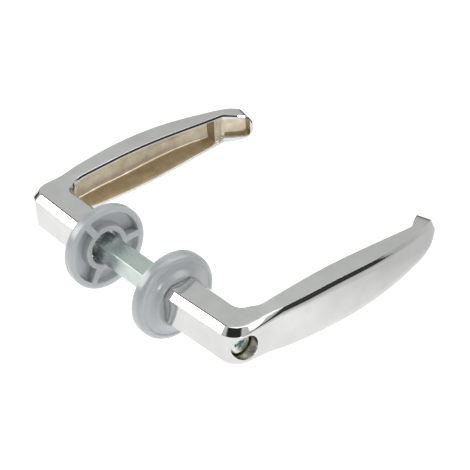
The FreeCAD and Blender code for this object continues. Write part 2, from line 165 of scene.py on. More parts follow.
@dataclass
class Skin:
    """Points, faces and one painted value per point of a piece, gathered from grids."""

    points: list[np.ndarray] = field(default_factory=list)
    paint: list[np.ndarray] = field(default_factory=list)
    faces: list[list[int]] = field(default_factory=list)
    count: int = 0

    def add(self, points: np.ndarray, paint: np.ndarray | float = 0.0) -> np.ndarray:
        """Store an array of points of any shape.

        Args:
            points: array whose last axis holds x, y and z in millimetres.
            paint: value of each point, or one for all.

        Returns:
            The points' numbers, in the array's own shape.
        """
        shape = points.shape[:-1]
        numbers = self.count + np.arange(int(np.prod(shape))).reshape(shape)
        self.points.append(points.reshape(-1, 3))
        self.paint.append(np.broadcast_to(paint, shape).reshape(-1))
        self.count += numbers.size
        return numbers

    def weave(self, numbers: np.ndarray, round_rows: bool = False, hole: tuple | None = None) -> None:
        """Quads over a grid whose columns close on themselves.

        Args:
            numbers: grid of point numbers.
            round_rows: whether the last row joins the first as well.
            hole: first row, last row, first column and last column of a window left open.
        """
        grid = np.vstack([numbers, numbers[:1]]) if round_rows else numbers
        grid = np.hstack([grid, grid[:, :1]])
        quads = np.stack([grid[:-1, :-1], grid[1:, :-1], grid[1:, 1:], grid[:-1, 1:]], axis=-1)
        kept = np.ones(quads.shape[:2], bool)
        if hole:
            kept[hole[0]:hole[1], hole[2]:hole[3]] = False
        self.faces += quads[kept].tolist()

    def close(self, ring: np.ndarray, middle: Triple, paint: float = 0.0) -> None:
        """Fan of triangles from a closed ring of points to one point in the middle.

        Args:
            ring: numbers of the ring's points.
            middle: place of the middle point.
            paint: its painted value.
        """
        pole = self.add(np.array([middle]), paint)
        fan = np.stack([ring, np.roll(ring, -1), np.broadcast_to(pole, ring.shape)], axis=-1)
        self.faces += fan.tolist()

    def build(self, name: str, side: Side, finish: "Finish") -> bpy.types.Object:
        """Make the object, in metres, with outward faces, smooth shading and its finish.

        Args:
            name: the piece's name.
            side: the side of the door.
            finish: what its surface is made of.

        Returns:
            The new object, at the origin.
        """
        points = side.place(np.vstack(self.points)) * MM
        mesh = bpy.data.meshes.new(name)
        mesh.from_pydata(points.tolist(), [], self.faces)
        paint = mesh.attributes.new("cast", "FLOAT", "POINT")
        paint.data.foreach_set("value", np.concatenate(self.paint).astype(np.float32))
        shell = bmesh.new()
        shell.from_mesh(mesh)
        bmesh.ops.remove_doubles(shell, verts=shell.verts, dist=1e-8)
        bmesh.ops.recalc_face_normals(shell, faces=shell.faces)
        shell.to_mesh(mesh)
        shell.free()
        mesh.polygons.foreach_set("use_smooth", np.ones(len(mesh.polygons), bool))
        mesh.set_sharp_from_angle(angle=CRISP)
        mesh.materials.append(finish.material())
        piece = bpy.data.objects.new(name, mesh)
        bpy.context.scene.collection.objects.link(piece)
        LOG.info("%s: %d points, %d faces", name, len(mesh.vertices), len(mesh.polygons))
        return piece


def install(piece: bpy.types.Object, node: str, body: str) -> None:
    """Let a new piece stand for a node of the model and move with a body.

    Args:
        piece: the new piece.
        node: the node that it stands for.
        body: the body that it moves with.
    """
    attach(piece, body)
    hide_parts(node)


class Blend(Enum):
    """What a mix node blends, with the numbers of its two inputs and of its output."""

    FLOAT = (2, 3, 0)
    RGBA = (6, 7, 2)


class Shader:
    """Small helper that lays out the nodes of one material."""

    def __init__(self, name: str) -> None:
        """Start a material with only a surface shader and its output.

        Args:
            name: the material's name.
        """
        self.material = bpy.data.materials.new(name)
        self.material.use_nodes = True
        self.tree = self.material.node_tree
        self.surface = self.tree.nodes["Principled BSDF"]
        self.place = self.tree.nodes.new("ShaderNodeTexCoord").outputs["Object"]

    def set(self, **values: float | tuple) -> None:
        """Set uniform values on the surface shader; an underscore in a name stands for a space."""
        for name, value in values.items():
            self.surface.inputs[name.replace("_", " ")].default_value = value

    def stretched(self, scale: Triple) -> Socket:
        """Object coordinates multiplied along each axis.

        Args:
            scale: the three factors.

        Returns:
            The new coordinates.
        """
        node = self.tree.nodes.new("ShaderNodeMapping")
        node.inputs["Scale"].default_value = scale
        self.tree.links.new(self.place, node.inputs["Vector"])
        return node.outputs["Vector"]

    def noise(self, scale: float, detail: float = 3.0, along: tuple | None = None) -> Socket:
        """Soft noise, drawn out along the axes if asked.

        Args:
            scale: grains per metre.
            detail: layers of finer noise.
            along: factors of the coordinates; a small one draws the grains out.

        Returns:
            The noise, from zero to one.
        """
        node = self.tree.nodes.new("ShaderNodeTexNoise")
        node.inputs["Scale"].default_value = scale
        node.inputs["Detail"].default_value = detail
        source = self.stretched(along) if along else self.place
        self.tree.links.new(source, node.inputs["Vector"])
        return node.outputs["Fac"]

    def spread(self, value: Socket, low: float, high: float,
               start: float = 0.3, end: float = 0.7) -> Socket:
        """Stretch a value between start and end to lie between low and high.

        Args:
            value: the value.
            low: result at start and before it.
            high: result at end and past it.
            start: value that gives low.
            end: value that gives high.

        Returns:
            The stretched value.
        """
        node = self.tree.nodes.new("ShaderNodeMapRange")
        for name, number in (("From Min", start), ("From Max", end), ("To Min", low), ("To Max", high)):
            node.inputs[name].default_value = number
        self.tree.links.new(value, node.inputs["Value"])
        return node.outputs["Result"]

    def blend(self, kind: Blend, share: Socket, first: object,
              second: object) -> Socket:
        """Blend of two colours or two numbers, each given as itself or as another node's output.

        Args:
            kind: what is blended.
            share: how much of the second there is.
            first: what shows where the share is zero.
            second: what shows where it is one.

        Returns:
            The blend.
        """
        node = self.tree.nodes.new("ShaderNodeMix")
        node.data_type = kind.name
        self.tree.links.new(share, node.inputs["Factor"])
        for number, value in zip(kind.value, (first, second)):
            if isinstance(value, Socket):
                self.tree.links.new(value, node.inputs[number])
            else:
                node.inputs[number].default_value = (*value, 1.0) if kind is Blend.RGBA else value
        return node.outputs[kind.value[2]]

    def mottled(self, cloud: Socket, first: Triple, second: Triple) -> Socket:
        """Blend of two colours that follows a noise."""
        return self.blend(Blend.RGBA, self.spread(cloud, 0.0, 1.0), first, second)

    def painted(self) -> Socket:
        """Read the value painted on the piece's own points.

        Returns:
            The value.
        """
        node = self.tree.nodes.new("ShaderNodeAttribute")
        node.attribute_name = "cast"
        return node.outputs["Fac"]

    def relief(self, height: Socket, distance: float) -> None:
        """Raise the surface by a bump.

        Args:
            height: height of the bump, from zero to one.
            distance: full height in metres.
        """
        node = self.tree.nodes.new("ShaderNodeBump")
        node.inputs["Distance"].default_value = distance
        node.inputs["Strength"].default_value = 1.0
        self.tree.links.new(height, node.inputs["Height"])
        self.tree.links.new(node.outputs["Normal"], self.surface.inputs["Normal"])

    def feed(self, name: str, socket: Socket) -> None:
        """Link a varying value to an input of the surface shader."""
        self.tree.links.new(socket, self.surface.inputs[name])


class Finish:
    """A surface finish that makes its material once."""

    made: dict = {}

    def material(self) -> bpy.types.Material:
        """Give the finish's material, made at the first call.

        Returns:
            The material.
        """
        if self not in Finish.made:
            Finish.made[self] = self.lay_out()
        return Finish.made[self]

    def lay_out(self) -> bpy.types.Material:
        """Make the nodes of the material.

        Returns:
            The material.
        """
        raise NotImplementedError


@dataclass(frozen=True)
class PlatedCasting(Finish):
    """Polished chrome that thins to bare satin nickel where the casting is hollow."""

    bright: Triple = (0.73, 0.73, 0.722)
    smoky: Triple = (0.675, 0.675, 0.67)
    nickel: Triple = (0.70, 0.62, 0.49)
    nickel_dark: Triple = (0.52, 0.44, 0.32)
    polish: Pair = (0.035, 0.075)
    satin: Pair = (0.27, 0.38)
    relief: float = 0.00003
    # Grains per metre of the plating's haze and ripple and of the casting's clouds and grit.
    haze_grain: float = 120.0
    ripple_grain: float = 170.0
    cloud_grain: float = 240.0
    grit_grain: float = 2600.0
    ripple_share: float = 0.12

    def lay_out(self) -> bpy.types.Material:
        """Colour, roughness and relief go from plating to bare casting by the painted value.

        Returns:
            The material.
        """
        shader = Shader("plated_casting")
        shader.set(Metallic=1.0)
        cast = shader.painted()
        haze = shader.noise(self.haze_grain)
        grit = shader.noise(self.grit_grain, 2.0)
        clouds = shader.noise(self.cloud_grain, 4.0)
        plating = shader.mottled(haze, self.bright, self.smoky)
        casting = shader.mottled(clouds, self.nickel, self.nickel_dark)
        shader.feed("Base Color", shader.blend(Blend.RGBA, cast, plating, casting))
        polish = shader.spread(haze, *self.polish)
        satin = shader.spread(clouds, *self.satin)
        shader.feed("Roughness", shader.blend(Blend.FLOAT, cast, polish, satin))
        ripple = shader.noise(self.ripple_grain, 1.0)
        ripple = shader.spread(ripple, 0.0, self.ripple_share, 0.0, 1.0)
        shader.relief(shader.blend(Blend.FLOAT, cast, ripple, grit), self.relief)
        return shader.material


@dataclass(frozen=True)
class MouldedGrey(Finish):
    """Semi-gloss silver-grey plastic with a faint metallic flake."""

    tone: Triple = (0.48, 0.50, 0.515)
    shade: Triple = (0.43, 0.45, 0.465)
    rough: Pair = (0.28, 0.36)
    relief: float = 0.000006
    # Grains per metre of the flake, of the changes in gloss and of the moulded skin.
    flake_grain: float = 4200.0
    gloss_grain: float = 500.0
    skin_grain: float = 1500.0

    def lay_out(self) -> bpy.types.Material:
        """Fine flake in the colour and a shallow moulded skin.

        Returns:
            The material.
        """
        shader = Shader("moulded_grey")
        shader.set(Metallic=0.1, Coat_Weight=0.4, Coat_Roughness=0.08)
        flake = shader.noise(self.flake_grain, 1.0)
        shader.feed("Base Color", shader.mottled(flake, self.tone, self.shade))
        shader.set(Subsurface_Weight=0.6, Subsurface_Radius=(1.0, 1.0, 1.0), Subsurface_Scale=0.006)
        shader.feed("Roughness", shader.spread(shader.noise(self.gloss_grain), *self.rough))
        shader.relief(shader.noise(self.skin_grain, 2.0), self.relief)
        return shader.material


@dataclass(frozen=True)
class ZincPlate(Finish):
    """Drawn or turned steel under zinc, with streaks along one axis."""

    name: str
    tone: Triple
    shade: Triple
    along: Triple = (1.0, 0.05, 1.0)
    rough: Pair = (0.24, 0.34)
    depth: float = 0.000003
    streak_grain: float = 1500.0
    cloud_grain: float = 160.0

    def lay_out(self) -> bpy.types.Material:
        """Streaks in colour, roughness and relief.

        Returns:
            The material.
        """
        shader = Shader(self.name)
        shader.set(Metallic=1.0)
        streak = shader.noise(self.streak_grain, 3.0, self.along)
        cloud = shader.noise(self.cloud_grain)
        shader.feed("Base Color", shader.mottled(cloud, self.tone, self.shade))
        shader.feed("Roughness", shader.spread(streak, *self.rough))
        shader.relief(streak, self.depth)
        return shader.material


@dataclass(frozen=True)
class PaleFloor(Finish):
    """Plain white paper under the object, with painted shade in its reflections: greyer there towards
    the tips of the levers.
    """

    tone: Triple = (0.86, 0.86, 0.86)
    # Tones seen only in reflections, from the roses to the tips: painted shade that greys the levers'
    # reflections of the floor.
    near_tone: Triple = (0.86, 0.86, 0.86)
    far_tone: Triple = (0.38, 0.38, 0.385)
    fade: Pair = (0.075, 0.185)
    glow: float = 0.42
    mirrored_glow: float = 0.34

    def lay_out(self) -> bpy.types.Material:
        """Flat white that glows a little, so that its shadows stay faint; what the levers reflect of it
        has painted shade, greyer and glowing less towards their tips.

        Returns:
            The material.
        """
        shader = Shader("pale_floor")
        shader.set(Roughness=0.9, Specular_IOR_Level=0.1)
        shader.set(Emission_Color=(1.0, 1.0, 1.0, 1.0))
        # Painted shade: reflected rays see the floor greyer towards the tips, and glowing less, than
        # the camera sees it.
        split = shader.tree.nodes.new("ShaderNodeSeparateXYZ")
        shader.tree.links.new(shader.place, split.inputs[0])
        towards_tips = shader.spread(split.outputs["X"], 0.0, 1.0, *self.fade)
        mirrored = shader.tree.nodes.new("ShaderNodeLightPath").outputs["Is Glossy Ray"]
        painted_reflection = shader.blend(Blend.RGBA, towards_tips, self.near_tone, self.far_tone)
        shader.feed("Base Color", shader.blend(Blend.RGBA, mirrored, self.tone, painted_reflection))
        glow = shader.blend(Blend.FLOAT, mirrored, self.glow, self.mirrored_glow)
        shader.feed("Emission Strength", glow)
        return shader.material


CHROME = PlatedCasting()
PLASTIC = MouldedGrey()
SPINDLE_ZINC = ZincPlate("spindle_zinc", (0.64, 0.71, 0.68), (0.55, 0.64, 0.61))
EVEN = (1.0, 1.0, 1.0)
SCREW_ZINC = ZincPlate("screw_zinc", (0.78, 0.85, 0.86), (0.66, 0.75, 0.77), EVEN, (0.3, 0.42))
SPRING_STEEL = ZincPlate("spring_steel", (0.30, 0.30, 0.31), (0.22, 0.22, 0.23), EVEN)


@dataclass(frozen=True)
class Rows:
    """Sections of a lever in order, from the rose to the tip, as one array entry to a section.

    The inner and outer points are (x, depth). A section lies in the plane through them and Z, with
    its first coordinate running from the inner to the outer point.
    """

    inner: np.ndarray
    outer: np.ndarray
    half: np.ndarray
    inner_cut: np.ndarray
    inner_down: np.ndarray
    out: np.ndarray
    down: np.ndarray
    facet: np.ndarray
    crown: np.ndarray
    soft: np.ndarray
    hollow: np.ndarray
    crease: np.ndarray
    hollow_half: np.ndarray

    @property
    def thickness(self) -> np.ndarray:
        """Distance from the inner to the outer point."""
        return np.linalg.norm(self.outer - self.inner, axis=1)


@dataclass(frozen=True)
class Lever:
    """One cast lever: spigot, chamfered neck, elbow, leaf-shaped hollow grip and hooked tip."""

    side: Side
    neck_half_width: float = 7.2
    neck_start: float = 25.8
    neck_lean: float = 1.3
    chamfer: float = 2.65
    inner_chamfer: float = 2.3
    bend: Pair = (15.2, 47.0)
    bend_radius: float = 8.0
    corner_radius: float = 7.0
    elbow_outer: float = 62.6
    # Knots along the grip and the hook, with the outer line, the half height and the inner line there.
    knots: tuple[float, ...] = (6.0, 16.0, 26.0, 38.0, 62.0, 85.0, 92.2, 97.7)
    outer_x: tuple[float, ...] = (6.0, 16.0, 26.0, 38.0, 62.0, 85.0, 91.83, 96.44)
    outer_depth: tuple[float, ...] = (62.6, 63.1, 64.0, 64.6, 64.4, 60.6, 58.31, 55.29)
    halves: tuple[float, ...] = (8.125, 8.65, 9.15, 9.5, 8.5, 6.75, 6.1, 4.9)
    kink: float = 85.0
    inner_x: tuple[float, ...] = (85.0, 89.8, 94.67)
    inner_depth: tuple[float, ...] = (55.0, 51.4, 48.3)
    round_out: float = 1.05
    crown: float = 0.5
    crown_run: Pair = (8.0, 34.0)
    softness: Pair = (1.0, 1.5)
    thin_facet: float = 0.02
    taper: Pair = (-2.0, 16.0)
    facet_taper: Pair = (-1.0, 17.0)
    steepness: float = 2.4
    inner_edge: Pair = (0.4, 1.05)
    # Hollow behind the grip and the pocket in the hook.
    wall: float = 1.35
    floor: float = 1.5
    ridge: float = 0.4
    ridge_run: Pair = (2.0, 4.0)
    wall_slope: float = 0.3
    root_thicker: float = 0.9
    root_narrower: float = 0.28
    hook_wall: float = 1.1
    bare_run: Pair = (0.1, 1.3)
    hollow_start: float = 8.6
    hollow_round: float = 2.4
    hollow_end: float = 81.0
    tip_round: float = 2.8
    tip_bevel: float = 0.75
    tip_half: float = 2.6
    land_deep: float = 1.2
    pocket: Pair = (86.5, 96.8)
    pocket_half: float = 4.3
    pocket_deep: float = 3.1
    draft: float = 0.3
    # Screw hole in the elbow, spigot and socket.
    counterbore: float = 4.8
    counterbore_floor: float = 54.0
    screw_hole: float = 2.75
    lip: float = 0.3
    window: Pair = (-5.45, 6.2)
    spigot_radius: float = 6.9
    spigot_end: float = 22.5
    socket_half: float = 4.075
    socket_bottom: float = 46.0
    # Points inside each side of a section, from the hollow's crease round to it again.
    between: tuple[int, ...] = (6, 4, 2, 1, 12, 2, 3, 18, 3, 2, 12, 1, 2, 4, 6)
    # Rounding of a section's corners: crease, hollow's floor, mouth, rim inside and out, and facets.
    roundings: tuple[float, ...] = (0.35, 0.8, 0.22, 0.12, 0.12, 0.45, 0.6)
    # Number of sections in the neck, round the elbow and along the grip.
    neck_sections: int = 24
    elbow_sections: int = 111
    grip_sections: int = 170

    @property
    def slope(self) -> float:
        """How far the neck's outer line leans in for each millimetre of depth."""
        return self.neck_lean / (self.elbow_outer - self.neck_start)

    @property
    def starts(self) -> np.ndarray:
        """Number of the first point of each corner of a section, and of the points in all."""
        return np.cumsum([0] + [ARC + count for count in self.between])

    def elbow_reach(self, turn: np.ndarray) -> np.ndarray:
        """Distance of the elbow's outer line from the middle of its inner bend.

        A ray from that middle meets the leaning neck, then the round corner, then the grip's flat
        start. Each is the ray's distance to a line or a circle, taken in that order.

        Args:
            turn: the ray's angle from the neck towards the grip, in radians.

        Returns:
            Distances in millimetres.
        """
        x, depth = self.bend
        lean = self.slope
        ray = np.stack([-np.cos(turn), np.sin(turn)], axis=-1)
        side = x + self.neck_half_width - lean * (depth - self.neck_start)
        neck = side / (np.cos(turn) + lean * np.sin(turn))
        centre = self.corner_centre - np.array(self.bend)
        inward = ray @ centre
        square = self.corner_radius**2 - (centre @ centre - inward**2)
        corner = inward + np.sqrt(np.maximum(square, 0.0))
        grip = (self.elbow_outer - depth) / np.maximum(np.sin(turn), 1e-9)
        first = math.atan2(centre[1] + lean * self.corner_radius, self.corner_radius - centre[0])
        last = math.atan2(centre[1] + self.corner_radius, -centre[0])
        return np.where(turn < first, neck, np.where(turn < last, corner, grip))

    @property
    def corner_centre(self) -> np.ndarray:
        """Find the middle of the elbow's round outer corner, which touches the leaning neck.

        Returns:
            The middle, as (x, depth).
        """
        depth = self.elbow_outer - self.corner_radius
        line = self.slope * (depth - self.neck_start) - self.neck_half_width
        return np.array([line + self.corner_radius * math.hypot(1.0, self.slope), depth])

    def rows(self) -> Rows:
        """Work out every section from the neck's start to the tip.

        Returns:
            Inner and outer points and the sizes of each section.
        """
        x, depth = self.bend
        neck = np.concatenate([[self.neck_start, self.neck_start + 0.3],
                               np.linspace(self.neck_start + 1.0, depth, self.neck_sections)[:-1]])
        turn = np.linspace(0.0, math.pi / 2, self.elbow_sections)
        # Places where the sections change at once, with the reach and number of the closer sections.
        sudden = ((self.hollow_end, 0.4, 9), (self.kink, 0.5, 5),
                  (self.pocket[0], 0.4, 7), (self.pocket[1], 0.4, 7))
        closer = [at + np.linspace(-reach, reach, count) for at, reach, count in sudden]
        even = np.linspace(x, self.knots[-1], self.grip_sections)[1:]
        run = np.unique(np.concatenate([even, *closer]))
        lean = (neck - self.neck_start) * self.neck_lean / (self.elbow_outer - self.neck_start)
        neck_inner = np.stack([np.full_like(neck, self.neck_half_width), neck], axis=-1)
        neck_outer = np.stack([lean - self.neck_half_width, neck], axis=-1)
        ray = np.stack([-np.cos(turn), np.sin(turn)], axis=-1)
        bend_inner = np.array(self.bend) + ray * self.bend_radius
        bend_outer = np.array(self.bend) + ray * self.elbow_reach(turn)[:, None]
        knots = np.array(self.knots)
        depths = np.array(self.outer_depth)
        bend_outer[:, 1] += flowing_curve(knots, depths, bend_outer[:, 0]) - self.elbow_outer
        hook = np.concatenate([[self.kink], knots[-2:]])
        past = np.minimum(run, self.kink)
        grip_inner = np.stack([past + np.interp(run, hook, self.inner_x) - self.kink,
                               np.interp(run, hook, self.inner_depth)], axis=-1)
        outer_x = run + flowing_curve(knots, np.array(self.outer_x) - knots, run)
        grip_outer = np.stack([outer_x, flowing_curve(knots, depths, run)], axis=-1)
        inner = np.concatenate([neck_inner, bend_inner, grip_inner])
        outer = np.concatenate([neck_outer, bend_outer, grip_outer])
        along = np.concatenate([np.zeros(len(neck) + len(turn)), run])
        place = np.maximum(along, outer[:, 0])
        leaf = np.interp(place, self.taper, (0.0, 1.0))
        out = mix(self.chamfer, self.round_out, leaf)
        facet = np.interp(place, self.facet_taper, (self.chamfer - 0.1, self.thin_facet))
        near = np.clip(1.0 - (knots[-1] - along) / self.tip_round, 0.0, 1.0)
        half = flowing_curve(knots, np.array(self.halves), place)
        half = half - self.tip_round * (1.0 - np.sqrt(1.0 - 0.96 * near**2))
        crease, side, hollow_half = self.hollow_sizes(inner, outer, along, half)
        inner_leaf = smooth_step(inner[:, 0], self.neck_half_width, self.hollow_start + 2.0)
        inner_cut, inner_down = (mix(self.inner_chamfer, size, inner_leaf) for size in self.inner_edge)
        crown = self.crown * smooth_step(outer[:, 0], *self.crown_run)
        return Rows(inner, outer, half, inner_cut, inner_down, out,
                    facet + self.steepness * (out - facet), facet, crown,
                    mix(*self.softness, leaf), side, crease, hollow_half)

    def hollow_sizes(self, inner: np.ndarray, outer: np.ndarray, along: np.ndarray,
                     half: np.ndarray) -> tuple[np.ndarray, np.ndarray, np.ndarray]:
        """Depth of the hollow along its middle and its sides, and its half width, at each section.

        The hollow is the section's thickness less the floor, but no deeper than a plane across the
        elbow, and it ends at a steep wall. The pocket in the hook has a flat floor.

        Args:
            inner: inner points of the sections.
            outer: outer points.
            along: place along the grip, zero in the neck and the elbow.
            half: half height of the sections.

        Returns:
            Three arrays, one entry to a section.
        """
        span = outer - inner
        thickness = np.linalg.norm(span, axis=1)
        across = np.minimum(span[:, 0] / thickness, -1e-6)
        to_wall = np.where(inner[:, 0] < self.bend[0] - 1e-6,
                           (self.hollow_start - inner[:, 0]) / across, np.inf)
        open_part = np.where(inner[:, 0] < self.hollow_start, 0.0, 1.0)
        root = 1.0 - smooth_step(along, 0.0, self.knots[2])
        full = thickness - self.floor - self.root_thicker * root + self.ridge
        deep = np.clip(np.minimum(full, to_wall), 0.0, None) * open_part
        before_rim = 1.0 - self.wall_at(along, self.pocket[1])
        in_pocket = self.wall_at(along, self.pocket[0]) * before_rim
        land = self.land_deep * before_rim
        deep = mix(deep, land, self.wall_at(along, self.hollow_end))
        side = np.clip(deep - self.ridge * smooth_step(deep, *self.ridge_run), 0.0, None)
        hollow_half = half - self.wall - self.root_narrower * root
        short = self.hollow_round - np.clip(inner[:, 0] - self.hollow_start, 0.0, self.hollow_round)
        hollow_half = hollow_half - self.hollow_round + np.sqrt(self.hollow_round**2 - short**2)
        hook_part = smooth_step(along, self.hollow_end + 1.0, self.pocket[0] - 1.0)
        hollow_half = mix(hollow_half, np.minimum(self.pocket_half, half - self.hook_wall), hook_part)
        pocket = (self.pocket_deep - self.land_deep) * in_pocket
        return deep + pocket, side + pocket, hollow_half

    def wall_at(self, along: np.ndarray, place: float) -> np.ndarray:
        """Step from zero to one over the steep wall at a place."""
        return smooth_step(along, place - self.wall_slope, place + self.wall_slope)

    def loops(self, rows: Rows) -> tuple[np.ndarray, np.ndarray]:
        """Section outlines in space, and how much bare casting shows at each point.

        Args:
            rows: the sections.

        Returns:
            Points, sections x points x 3, and the painted values.
        """
        thickness = rows.thickness
        zero = np.zeros_like(thickness)
        upper = [
            (rows.hollow, rows.hollow_half - self.draft * rows.hollow),
            (zero, rows.hollow_half),
            (zero, rows.half - rows.inner_down),
            (rows.inner_cut, rows.half),
            (thickness - rows.out, rows.half),
            (thickness - rows.out + rows.facet, rows.half - rows.facet),
            (thickness, rows.half - rows.down),
        ]
        corners = [(rows.crease, zero), *upper, *((a, -z) for a, z in reversed(upper))]
        corners = np.stack([np.stack(pair, axis=-1) for pair in corners], axis=1)
        reach = [np.full_like(thickness, size) for size in self.roundings]
        reach = np.stack([*reach, rows.soft, rows.soft, *reach[:0:-1]], axis=1)
        flat = rounded_loops(corners, reach, list(self.between))
        a, z = flat[..., 0], flat[..., 1]
        outside = (a > 0.5 * thickness[:, None]) & ~self.hollow_columns
        swell = np.cos(0.5 * math.pi * np.clip(z / rows.half[:, None], -1.0, 1.0)) ** 2
        a = a + np.where(outside, rows.crown[:, None] * swell, 0.0)
        towards = (rows.outer - rows.inner) / thickness[:, None]
        x = rows.inner[:, None, 0] + a * towards[:, None, 0]
        depth = rows.inner[:, None, 1] + a * towards[:, None, 1]
        cast = smooth_step(a, *self.bare_run) * self.hollow_columns
        return np.stack([x, -depth, z], axis=-1), cast

    @property
    def hollow_columns(self) -> np.ndarray:
        """Tell which points of a section belong to the hollow: those up to its mouth's two corners.

        Returns:
            One truth value to a point.
        """
        column = np.arange(self.starts[-1])
        return (column < self.starts[2] + 3) | (column >= self.starts[13] + 2)

    def root(self, loop: np.ndarray) -> np.ndarray:
        """Rings from the socket's bottom over the spigot to the neck's first section.

        Every ring takes the angles of the section's own points about the spindle. A round ring has
        one radius, and a square one the radius half / max(|cos|, |sin|).

        Args:
            loop: the neck's first section.

        Returns:
            Points, rings x points x 3.
        """
        angle = np.arctan2(loop[:, 2], loop[:, 0])
        way = np.stack([np.cos(angle), np.zeros_like(angle), np.sin(angle)], axis=-1)
        square = 1.0 / np.maximum(np.abs(way[:, 0]), np.abs(way[:, 2]))
        rings = [
            (self.socket_half * square, self.socket_bottom),
            (self.socket_half * square, self.spigot_end + 0.3),
            ((self.socket_half + 0.3) * square, self.spigot_end),
            (np.full_like(angle, self.spigot_radius - 0.3), self.spigot_end),
            (np.full_like(angle, self.spigot_radius), self.spigot_end + 0.3),
            (np.full_like(angle, self.spigot_radius), self.neck_start),
        ]
        rings = [way * radius[:, None] + np.array([0.0, -depth, 0.0]) for radius, depth in rings]
        rings.append(loop * np.array([0.965, 1.0, 0.965]))
        return np.array(rings)

    def tip(self, last: np.ndarray) -> np.ndarray:
        """Round off the last section by rings drawn in and moved on as a quarter circle.

        Args:
            last: the last section.

        Returns:
            Points, rings x points x 3.
        """
        middle = last.mean(axis=0)
        run = np.diff(self.inner_x[-2:])[0]
        rise = np.diff(self.inner_depth[-2:])[0]
        way = np.array([run, -rise, 0.0])
        way /= np.linalg.norm(way)
        angle = np.linspace(0.0, math.pi / 2, 7)[1:, None, None]
        shrink = 1.0 - (1.0 - np.cos(angle)) * self.tip_bevel / self.tip_half
        return middle + (last - middle) * shrink + way * np.sin(angle) * self.tip_bevel

    def screw_well(self, skin: Skin, numbers: np.ndarray,
                   points: np.ndarray) -> tuple[int, int, int, int]:
        """Open the stepped screw hole in the elbow's outer face.

        A window of the grid is left open. Its edge is joined to the hole's rim by rings of points
        part of the way from one to the other, all on the elbow's own outer line, and the rings go
        on over a small round down the wall and across the floor.

        Args:
            skin: the lever's points and faces.
            numbers: point numbers of the sections.
            points: the sections' points.

        Returns:
            The window's first and last row and column.
        """
        left, right = int(self.starts[7] + ARC - 1), int(self.starts[8])
        line = points[:, (left + right) // 2]
        outer_side = -line[:, 1] > self.bend[1] + self.bend_radius
        within = (line[:, 0] > self.window[0]) & (line[:, 0] < self.window[1])
        inside = np.nonzero(within & outer_side)[0]
        first, last = int(inside[0]), int(inside[-1])
        rows = np.concatenate([np.arange(first, last), np.full(right - left, last),
                               np.arange(last, first, -1), np.full(right - left, first)])
        columns = np.concatenate([np.full(last - first, left), np.arange(left, right),
                                  np.full(last - first, right), np.arange(right, left, -1)])
        border = points[rows, columns][:, [0, 2]]
        way = border / np.linalg.norm(border, axis=1, keepdims=True)
        rim = way * (self.counterbore + self.lip)
        t = np.linspace(0.0, 1.0, 5)[1:, None]
        flat = mix(border, rim, t[..., None])
        edge = way * (self.counterbore + self.lip * (1.0 - t) ** 2)[..., None]
        drop = np.concatenate([np.zeros(len(t)), self.lip * t[:, 0] ** 2])
        rings = np.concatenate([flat, edge])
        depth = self.outer_line(rings[..., 0]) - drop[:, None]
        wall = np.linspace(0.0, 1.0, 7)[1:, None]
        level = np.ones((1, len(way)))
        rings = np.concatenate([rings, np.broadcast_to(way * self.counterbore, (len(wall), *way.shape)),
                                np.array([way * self.screw_hole] * 2)])
        depth = np.concatenate([depth, mix(depth[-1], self.counterbore_floor, wall),
                                self.counterbore_floor * level, (self.socket_bottom + 0.1) * level])
        # Bare casting shows from the foot of the rounded edge down.
        bare = np.concatenate([np.zeros(7), [0.3, 0.8], np.ones(7)])[:, None] * level
        more = skin.add(np.stack([rings[..., 0], -depth, rings[..., 1]], axis=-1), bare)
        skin.weave(np.vstack([numbers[rows, columns], more]))
        skin.close(more[-1], (0.0, -self.socket_bottom - 0.1, 0.0), 1.0)
        return first, last, left, right

    def outer_line(self, x: np.ndarray) -> np.ndarray:
        """Follow the elbow's outer line: a quarter circle up to its top, then level.

        Args:
            x: places along the line.

        Returns:
            The line's depth there.
        """
        centre = self.corner_centre
        short = np.minimum(x - centre[0], 0.0)
        return centre[1] + np.sqrt(self.corner_radius**2 - short**2)

    def build(self) -> bpy.types.Object:
        """Join the root, the sections, the tip and the screw's well, and stand for the lever's node.

        Returns:
            The new lever.
        """
        skin = Skin()
        rows = self.rows()
        points, cast = self.loops(rows)
        root = self.root(points[0])
        tip = self.tip(points[-1])
        grid = np.concatenate([root, points[1:], tip])
        bare = np.zeros(grid.shape[:2])
        bare[:2] = 1.0
        bare[len(root):-len(tip)] = cast[1:]
        numbers = skin.add(grid, bare)
        body = numbers[len(root):len(root) + len(points) - 1]
        first, last, left, right = self.screw_well(skin, body, points[1:])
        skin.weave(numbers, hole=(first + len(root), last + len(root), left, right))
        skin.close(numbers[0], (0.0, -self.socket_bottom, 0.0), 1.0)
        skin.close(numbers[-1], tuple(tip[-1].mean(axis=0)))
        name = f"{self.side.label}_cast_lever"
        piece = skin.build(name, self.side, CHROME)
        install(piece, f"{self.side.label}_lever", self.side.lever_body)
        return piece


